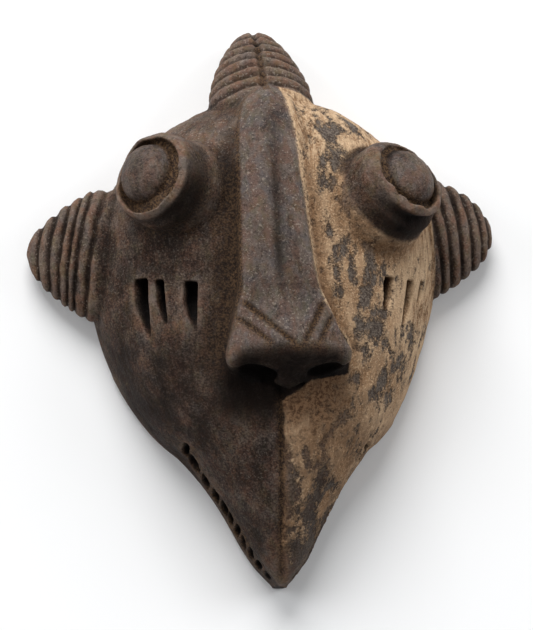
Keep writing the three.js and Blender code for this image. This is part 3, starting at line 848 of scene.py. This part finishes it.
# how each zone fades over the carving: along each axis, from 0 at the first number to 1 at the second
zones = {
    "noseLong": [("y", -13, -10), ("y", 46, 43)],
    "strip": [("side", 0.2, 0.7), ("side", 4, 1.4), ("y", 40, 20)],  # dirt beside the pigment's edge
    "beside": [("gap", 10, 0.5), ("gap", -1, 0.4), ("y", -20, -8), ("y", 38, 22)],  # painted shade and soot beside the nose, with some dust
    "seam": [("y", -8, 0), ("y", 50, 44)],
    "under": [("y", -8.6, -14), ("y", -29, -20), ("off", 17, 12)],  # painted shade and soot under the nose
    "underEdge": [("edge", 0, 4)],
    "underLow": [("z", 30, 27)],
    "underPit": [("y", -12, -17)],
    "below": [("y", -12, -16), ("y", -38, -24), ("x", 19, 8)],  # brown dirt and painted shade below the nose
    "belowDark": [("y", -30, -19)],
    "front": [("depth", 0.5, -1.2), ("gap", 0, -0.8), ("y", -12, -10)],  # of the nose
    "cheek": [("y", 8, 22)],
    "forehead": [("y", 24, 38)],
    "lowCheek": [("y", 1, -9), ("x", -10, -17)],
    "tip": [("y", -36, -52)],
    "wings": [("y", -4, -12)],
    "creaseEnd": [("y", -5, 8)],
    "split": [("splitOff", 1.3, 0.4)],
    "back": [("z", 0.4, -0.8)],
    "deepCutShade": [("deep", 0.5, 2.6)],
    "teeth": [("fromMouth", 0.6, -0.2), ("share", 0.76, 0.84)],
    "beak": [("y", -16, -36)],
    "rim": [("x", 22, 33), ("y", -30, -10), ("y", 30, 20)],  # the light rim of the pale half
    "brow": [("y", 22, 34), ("x", -2, 3)],
}
# how light the dark wood is, from 0 to 1, and what some places add to it; lighter towards the forehead and
# darker on the lower cheek and the beak's tip, partly the wood's own tone and partly painted light from above
tones = {"ground": 0.3, "cheek": 0.16, "forehead": 0.36, "lowCheek": -0.16, "tip": -0.14, "nose": 0.84,
         "wings": 0.45, "topHorn": 0.86, "sideHorns": 0.6, "eyes": 0.36, "leftPupil": 0.2, "rightPupil": 0.42}


def paint(mesh):
    print("painting")
    flat = np.empty(len(mesh.vertices) * 3, np.float32)
    mesh.vertices.foreach_get("co", flat)
    at = flat.reshape(-1, 3).astype(float) * 1000
    x, y, z = at.T
    near, wide, broad = (sample(values, at) for values in (fullNear, fullWide, fullBroad))
    side, pale = paleSide(at), paleShare(at)
    horn, grooves = onHorns(at)
    eyes, pupils, moats, feet, shade = onEyes(at)
    gap = noseMiddle(y) - noseHalf(y) - x
    mouthShare = unit((mouth["fromY"] - y) / (mouth["fromY"] - mouth["toY"]))
    axes = {
        "x": x, "y": y, "z": z, "side": side, "gap": gap, "off": np.abs(x - 1),
        "edge": noseHalf(y) - np.abs(x - noseMiddle(y)), "depth": noseFront(x, y) - z - 1.5,
        "splitOff": np.abs(hornPlace(x, y, z, horns["top"])[0]),
        "deep": (1 - headShape(x, y, z)) * crownHeight(y),  # under the head's uncut surface
        "share": np.abs(x - middle(y)) / halfWidth(y),
        "fromMouth": np.abs(z - slotHeight(mouthShare)) - (mouth["highZ"] - mouth["lowZ"]) / 2,
    }

    def zone(name):
        return math.prod(fade(low, high, axes[axis]) for axis, low, high in zones[name])

    line = np.exp(-((side - 0.25) / 0.5) ** 2) * zone("noseLong")
    strip, beside, belowNose = zone("strip") * zone("noseLong"), zone("beside"), zone("below")
    seam = np.exp(-((gap + 0.1) / 0.45) ** 2) * zone("seam")
    under = zone("under") * (1 - pale) * unit(zone("underEdge") + zone("underLow"))
    onFront = zone("front") * (y < nose["topY"] + 1) * (side < 0.3)
    # partly painted light from above: lighter towards the forehead, darker on the lower cheek and the beak's
    # tip
    tone = tones["ground"] + sum(tones[key] * zone(key) for key in ("cheek", "forehead", "lowCheek", "tip"))
    tone = tone + (tones["nose"] - tone) * onFront * (1 - tones["wings"] * zone("wings"))
    tone = np.where(horn > 0.5, np.where(y > 42, tones["topHorn"], tones["sideHorns"]), tone)
    tone = tone + (tones["eyes"] - tone) * eyes
    tone = tone + (np.where(x < 0, tones["leftPupil"], tones["rightPupil"]) - tone) * pupils
    # the cuts: painted shade along the nose's crease, and dust in the chevrons, the beak's groove and the top
    # horn's split
    creaseShade = np.max([nearLine(at, start, end, 1.7) for start, end in zip(crease, crease[1:])], axis=0)
    creaseShade = 0.5 * onFront * creaseShade * zone("creaseEnd")
    cuts = np.max([nearLine(at, start, end, 0.9) for start, end in chevrons], axis=0) * (y < 0) * (z > 24)
    middleLine = nearLine(at, (midline["topX"], midline["fromY"] - 4), (0, midline["toY"]), 1.1) * (z > 4)
    split = zone("split") * (y > 47) * (z > 9)
    # painted shade: the nostrils are painted dark inside
    nostrils = 0
    for hole in nose["nostrils"]:
        across = x - noseMiddle(nose["tipY"]) - hole["side"] * hole["x"]
        away = np.hypot(across / hole["long"], (y - hole["y"]) / hole["wide"])
        below = z < nose["nostrilZ"] + nose["nostrilDeep"] / 2
        nostrils = np.maximum(nostrils, fade(0.56, 0.44, away) * below)
    inside = zone("back") + (sample(insideField, at) < 0.35) * 1.0
    # painted shade: black in cuts that lie deep under the head's uncut surface
    deepCutShade = zone("deepCutShade") * (1 - unit(inside)) * (np.abs(x) < 36)
    teeth = zone("teeth") * (y < mouth["fromY"] + 0.5)  # dust on the bars between the slots
    # painted shade under the nose, beside it, under the collars and along the crease, with some soot under and
    # beside the nose
    sootAndShade = np.maximum.reduce((under, 0.6 * beside, 0.95 * shade)) + creaseShade
    collarShade = np.where(x > 0, 0.8, 0.5) * shade ** 2
    values = {
        "sootAndShade": unit(sootAndShade) * (1 - pupils),
        # painted shade: black in the nostrils and deep cuts, under the nose and under the collars
        "pitShade": np.maximum.reduce((nostrils, deepCutShade, 0.5 * under * zone("underPit"), collarShade)),
        "tone": tone,
        # painted shade: darker in the grooves between the horns' ribs
        "ring": grooves * (1 - split),
        "dust": np.maximum.reduce((0.9 * moats, 0.85 * cuts, 0.7 * middleLine, 0.75 * split, 0.25 * feet,
                                   0.45 * beside, 0.9 * seam, 0.95 * teeth)),
        # painted shade: black in the tightest corners, and dark below the nose on the pale half
        "deep": unit(np.maximum((near - 0.5) * 3.4, 1.3 * belowNose * zone("belowDark") * pale)),
        "cool": 0.7 * onFront + 0.5 * pupils,
        "worn": unit((0.5 - near) * 4),
        # painted shade: sunk darkens the wider hollows, and also lays reddish dirt in them
        "sunk": unit((wide - 0.5) * 3.2),
        "proud": unit((0.5 - wide) * 3.2),
        # painted shade: broad darkens the broadest hollows
        "broad": unit((broad - 0.47) * 3.4),
        "pale": pale,
        "held": pigmentHeld(at),
        "lower": zone("beak") * (1 - 0.8 * nearPlaces(at, paleTraces)),
        "rim": np.maximum(zone("rim"), zone("brow")),
        "line": line,
        "dirt": np.maximum.reduce((0.7 * strip, 0.55 * feet, 0.75 * belowNose, 0.9 * middleLine)),
        "inside": inside,
    }
    for name, value in values.items():
        layer = mesh.attributes.new(name, "FLOAT", "POINT")
        layer.data.foreach_set("value", np.clip(value, -1, 1).astype(np.float32))


class Graph:
    # short ways to make the nodes of a material
    def __init__(self, name):
        self.material = bpy.data.materials.new(name)
        self.material.use_nodes = True
        self.tree = self.material.node_tree
        self.shader = self.tree.nodes["Principled BSDF"]

    def put(self, socket, value):
        if isinstance(value, bpy.types.NodeSocket):
            self.tree.links.new(value, socket)
        else:
            socket.default_value = value

    def node(self, kind, inputs, **settings):
        made = self.tree.nodes.new(kind)
        for name, value in settings.items():
            setattr(made, name, value)
        for name, value in inputs.items():
            self.put(made.inputs[name], value)
        return made

    def calc(self, operation, a, b=0.0, clamp=False):
        return self.node("ShaderNodeMath", {0: a, 1: b}, operation=operation, use_clamp=clamp).outputs[0]

    def times(self, *values):
        total = values[0]
        for value in values[1:]:
            total = self.calc("MULTIPLY", total, value)
        return total

    def plus(self, *values):
        total = values[0]
        for value in values[1:]:
            total = self.calc("ADD", total, value)
        return total

    def mix(self, share, a, b, blend="MIX"):
        # a and b are sockets, or names of the wood's colours
        made = self.node("ShaderNodeMix", {0: share}, data_type="RGBA", blend_type=blend)
        for index, value in ((6, a), (7, b)):
            self.put(made.inputs[index], colour(woodLook[value]) if isinstance(value, str) else value)
        return made.outputs[2]

    def laid(self, base, *coats):
        # one coat of colour over the other, each by its share
        for share, coat in coats:
            base = self.mix(share, base, coat)
        return base

    def sway(self, noise, strength):
        # a noise that goes up and down round 0
        return self.times(self.plus(noise, -0.5), strength)

    def between(self, value, low, high, most=1.0):
        return self.node("ShaderNodeMapRange", {0: value, 1: low, 2: high, 3: 0.0, 4: most},
                         interpolation_type="SMOOTHSTEP").outputs[0]

    def layer(self, name):
        return self.node("ShaderNodeAttribute", {}, attribute_name=name).outputs["Fac"]

    def noise(self, size, detail=4, rough=0.55, stretch=(1, 1, 1), swirl=0.0):
        # sizes in millimetres of the object, drawn out along the stretch
        spot = self.node("ShaderNodeTexCoord", {}).outputs["Object"]
        scale = tuple(1000 / part for part in stretch)
        place = self.node("ShaderNodeMapping", {"Vector": spot, "Scale": scale}).outputs[0]
        return self.node("ShaderNodeTexNoise", {"Vector": place, "Scale": 1 / size, "Detail": detail,
                                                "Roughness": rough, "Distortion": swirl}).outputs["Fac"]


def colour(rgb):
    # a colour named as on a screen, 0 to 255
    parts = [v / 255 for v in rgb[:3]]
    return tuple(v / 12.92 if v <= 0.04045 else ((v + 0.055) / 1.055) ** 2.4 for v in parts) + (1,)


woodLook = {
    "dark": (34, 22, 15),
    "light": (110, 93, 81),
    "glint": (150, 138, 126),
    # black and groove are also the colours of painted shade in pits, hollows and corners
    "black": (7, 4, 3),
    "groove": (22, 13, 8),
    "ring": (40, 27, 19),
    "red": (84, 50, 34),
    "dust": (92, 70, 49),
    "slateTint": (226, 238, 255),  # the tints are laid over the wood
    "redTint": (255, 222, 206),
    "greenTint": (232, 238, 212),
    "worn": (112, 98, 87),
    "inside": (84, 62, 44),
    "insideDark": (52, 37, 27),
    "pale": (158, 125, 93),
    "paleBrown": (122, 90, 62),
    "paleLight": (212, 182, 148),
    "beak": (112, 86, 64),
    "umber": (70, 47, 31),
    "dirt": (134, 103, 76),
    "bare": (112, 101, 91),  # where the pigment is worn away
    "bareDark": (66, 55, 48),
}


def buildWood():
    print("wood")
    g = Graph("carvedWood")
    layer, noise, mix, laid, calc = g.layer, g.noise, g.mix, g.laid, g.calc
    times, plus, sway, between = g.times, g.plus, g.sway, g.between
    deep, worn, sunk, proud, lower = (layer(name) for name in ("deep", "worn", "sunk", "proud", "lower"))
    light, ring, sootAndShade, cool, pale = (layer(name) for name in ("tone", "ring", "sootAndShade", "cool", "pale"))
    cloud = noise(9, 3, 0.55, (1, 1.6, 1))
    blotch = noise(3, 5, 0.65, (1, 1.5, 1), 0.4)
    fibre = noise(0.6, 5, 0.65, (1, 8, 1))
    grit = noise(0.42, 2, 0.6)
    speck = noise(0.8, 4, 0.75)
    # the dark wood with its worn patina, its lighter top and darker beak partly painted light from above, and
    # painted shade in its hollows, pits and corners
    tone = plus(light, sway(cloud, 1.1), sway(blotch, 1.3), sway(grit, plus(1.2, light)), sway(fibre, 0.6))
    # lighter on worn and proud edges, and painted shade in the broad hollows
    tone = plus(tone, times(proud, 0.45), times(worn, 0.45), times(layer("broad"), -0.4))
    wood = mix(between(tone, -0.1, 1.15), "dark", "light")
    for tint, size, low in (("slateTint", 3.4, 0.5), ("greenTint", 2.2, 0.53), ("redTint", 2.7, 0.49)):
        share = between(noise(size, 4, 0.6, (1, 1.5, 1), 0.5), low - 0.08, low + 0.14, 0.8)
        wood = mix(share, wood, tint, "MULTIPLY")
    wood = mix(cool, wood, "slateTint", "MULTIPLY")
    redness = between(noise(1.9, 5, 0.7), 0.52, 0.66)
    wood = laid(wood,
                (times(redness, plus(times(lower, 0.25), times(sunk, 0.5))), "red"),
                (between(speck, 0.5, 0.7, 0.6), "groove"),
                # painted shade in the grooves between the horns' ribs
                (times(ring, between(plus(speck, times(ring, 0.4)), 0.5, 0.75, 0.95)), "ring"),
                (times(between(noise(0.5, 1, 0.5), 0.6, 0.7, 0.55), light), "glint"),
                # painted shade: the groove colour darkens the hollows and the places of painted shade, with
                # some soot
                (calc("MULTIPLY", plus(times(sunk, 0.8), sootAndShade, times(sootAndShade, sway(blotch, 1.6))), 0.88, True),
                 "groove"),
                # painted shade: black in the tightest corners
                (calc("MULTIPLY", deep, 0.9, True), "black"))
    dusty = calc("ADD", layer("dust"), times(deep, between(blotch, 0.48, 0.62, 0.6)), True)
    dustLook = mix(between(plus(times(grit, 0.5), times(speck, 0.5)), 0.44, 0.58), "ring", "dust")
    wood = mix(times(dusty, between(plus(speck, times(dusty, 0.3)), 0.45, 0.65)), wood, dustLook)
    # the pale pigment on the other half, worn through in places
    fine = noise(0.5, 4, 0.7, (1, 1.5, 1))
    mottle = noise(2.4, 5, 0.65, (1, 1.8, 1), 0.3)
    streak = noise(0.9, 4, 0.6, (1, 7, 1))
    held = plus(layer("held"), sway(fine, 2), sway(grit, 0.9))
    kept = between(held, -0.3, 0.34)
    chalk = mix(between(mottle, 0.4, 0.62), "pale", "paleBrown")
    chalk = laid(chalk,
                 (between(fine, 0.5, 0.66, 0.75), "umber"),
                 (between(grit, 0.53, 0.66, 0.6), "paleLight"),
                 (times(layer("rim"), between(streak, 0.44, 0.56, 0.6)), "paleLight"),
                 (between(fibre, 0.54, 0.68, 0.5), "umber"),
                 (times(calc("ADD", proud, worn, True), 0.6), "paleLight"),
                 # painted shade: umber in the hollows and corners of the pigment
                 (calc("MULTIPLY", plus(times(sunk, 0.7), deep), 0.85, True), "umber"),
                 (times(lower, between(streak, 0.36, 0.56)), "beak"),
                 (times(kept, between(held, 0.4, 0.15, 0.25)), "paleLight"))  # the pigment's own rim
    bareWood = mix(between(plus(times(grit, 0.6), times(mottle, 0.4)), 0.42, 0.58), "bareDark", "bare")
    bareWood = mix(times(lower, 0.8), bareWood, wood)
    # dirt lies beside the nose and round the foot of the stalk
    dirtLook = mix(between(speck, 0.4, 0.56), "umber", "dirt")
    surface = laid(bareWood, (kept, chalk), (times(layer("dirt"), between(mottle, 0.3, 0.5)), dirtLook))
    # the back is plainer wood
    plain = mix(between(noise(0.7, 4, 0.6, (1, 9, 1)), 0.4, 0.66), "inside", "insideDark")
    plain = mix(between(cloud, 0.4, 0.7), plain, "insideDark")
    body = laid(wood,
                (pale, surface),
                (times(layer("line"), between(fine, 0.42, 0.56, 0.7)), "paleLight"),
                # painted shade: the pits go black, and umber on the pale half
                (times(layer("pitShade"), 0.93), mix(times(pale, 0.5), "black", "umber")),
                (layer("inside"), plain))
    g.put(g.shader.inputs["Base Color"], body)
    gloss = plus(0.46, times(blotch, 0.3), times(calc("MAXIMUM", sootAndShade, deep), 0.34), times(cool, -0.12),
                 between(grit, 0.4, 0.6, 0.1))
    chalky = times(pale, kept)
    gloss = g.node("ShaderNodeMix", {0: chalky, 2: gloss, 3: 0.9}, data_type="FLOAT").outputs[0]
    g.put(g.shader.inputs["Roughness"], gloss)
    g.put(g.shader.inputs["Specular IOR Level"], 0.15)
    high = plus(times(fibre, 0.35), times(grit, 0.5), times(blotch, 0.4), times(speck, 0.5), times(chalky, 0.5),
                times(pale, fine, 0.7))
    bump = g.node("ShaderNodeBump", {"Height": high, "Strength": 1.0, "Distance": 0.0005})
    g.put(g.shader.inputs["Normal"], bump.outputs[0])
    return g.material


paint(mask.data)
mask.data.transform(Matrix.Translation(Vector(shift) / 1000))
mask.data.materials.clear()
mask.data.materials.append(buildWood())


def placeCamera():
    back, rightRolled, upRolled = cameraAxes()
    offX = (view["width"] / 2 - view["targetPixel"][0]) / view["scale"]
    offY = (view["targetPixel"][1] - view["height"] / 2) / view["scale"]
    target = Vector(view["target"]) + Vector(shift)
    place = target + back * view["distance"] + rightRolled * offX + upRolled * offY
    camera = placed("camera", bpy.data.cameras.new("camera"))
    camera.data.sensor_width = view["sensor"]
    camera.data.lens = view["scale"] * view["distance"] / view["height"] * view["sensor"]
    camera.data.clip_start = 0.01
    camera.matrix_world = Matrix((
        (rightRolled.x, upRolled.x, back.x, place.x / 1000),
        (rightRolled.y, upRolled.y, back.y, place.y / 1000),
        (rightRolled.z, upRolled.z, back.z, place.z / 1000),
        (0, 0, 0, 1),
    ))
    bpy.context.scene.camera = camera


# the studio lights: place and size in metres, power in watts
lights = {
    "topLight": {"place": (-0.2, 0.95, 0.8), "size": 0.9, "power": 17.5, "colour": (1, 1, 1)},
    "leftLight": {"place": (-0.95, 0.25, 0.6), "size": 0.7, "power": 4.2, "colour": (0.95, 0.97, 1)},
    "rightLight": {"place": (0.95, 0.3, 0.55), "size": 0.7, "power": 4.2, "colour": (0.95, 0.97, 1)},
}
stage = {"floorHalf": 3, "floorDrop": 0.00005, "floorGrey": 0.9, "skyStrength": 0.28}


def buildLight(name, look):
    light = bpy.data.lights.new(name, "AREA")
    light.shape = "DISK"
    light.size = look["size"]
    light.energy = look["power"]
    light.color = look["colour"]
    lamp = placed(name, light)
    lamp.location = look["place"]
    lamp.rotation_euler = Vector(look["place"]).to_track_quat("Z", "Y").to_euler()


def buildStage():
    # the floor lies a hair under the flat back, so that the two don't share a face
    floorMesh = bpy.data.meshes.new("floor")
    half, under = stage["floorHalf"], -stage["floorDrop"]
    corners = ((-half, -half, under), (half, -half, under), (half, half, under), (-half, half, under))
    floorMesh.from_pydata(corners, [], [(0, 1, 2, 3)])
    floor = placed("floor", floorMesh)
    paper = bpy.data.materials.new("floorPaper")
    paper.use_nodes = True
    shader = paper.node_tree.nodes["Principled BSDF"]
    grey = stage["floorGrey"]
    shader.inputs["Base Color"].default_value = (grey, grey, grey, 1)
    shader.inputs["Roughness"].default_value = 0.9
    floorMesh.materials.append(paper)
    world = bpy.data.worlds.new("studio")
    world.use_nodes = True
    sky = world.node_tree.nodes["Background"].inputs
    sky["Color"].default_value = (1, 1, 1, 1)
    sky["Strength"].default_value = stage["skyStrength"]
    bpy.context.scene.world = world


print("camera, floor and lights")
placeCamera()
buildStage()
for name, look in lights.items():
    buildLight(name, look)
bpy.context.scene.view_settings.view_transform = "Standard"

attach(mask, "root")
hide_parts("mask")
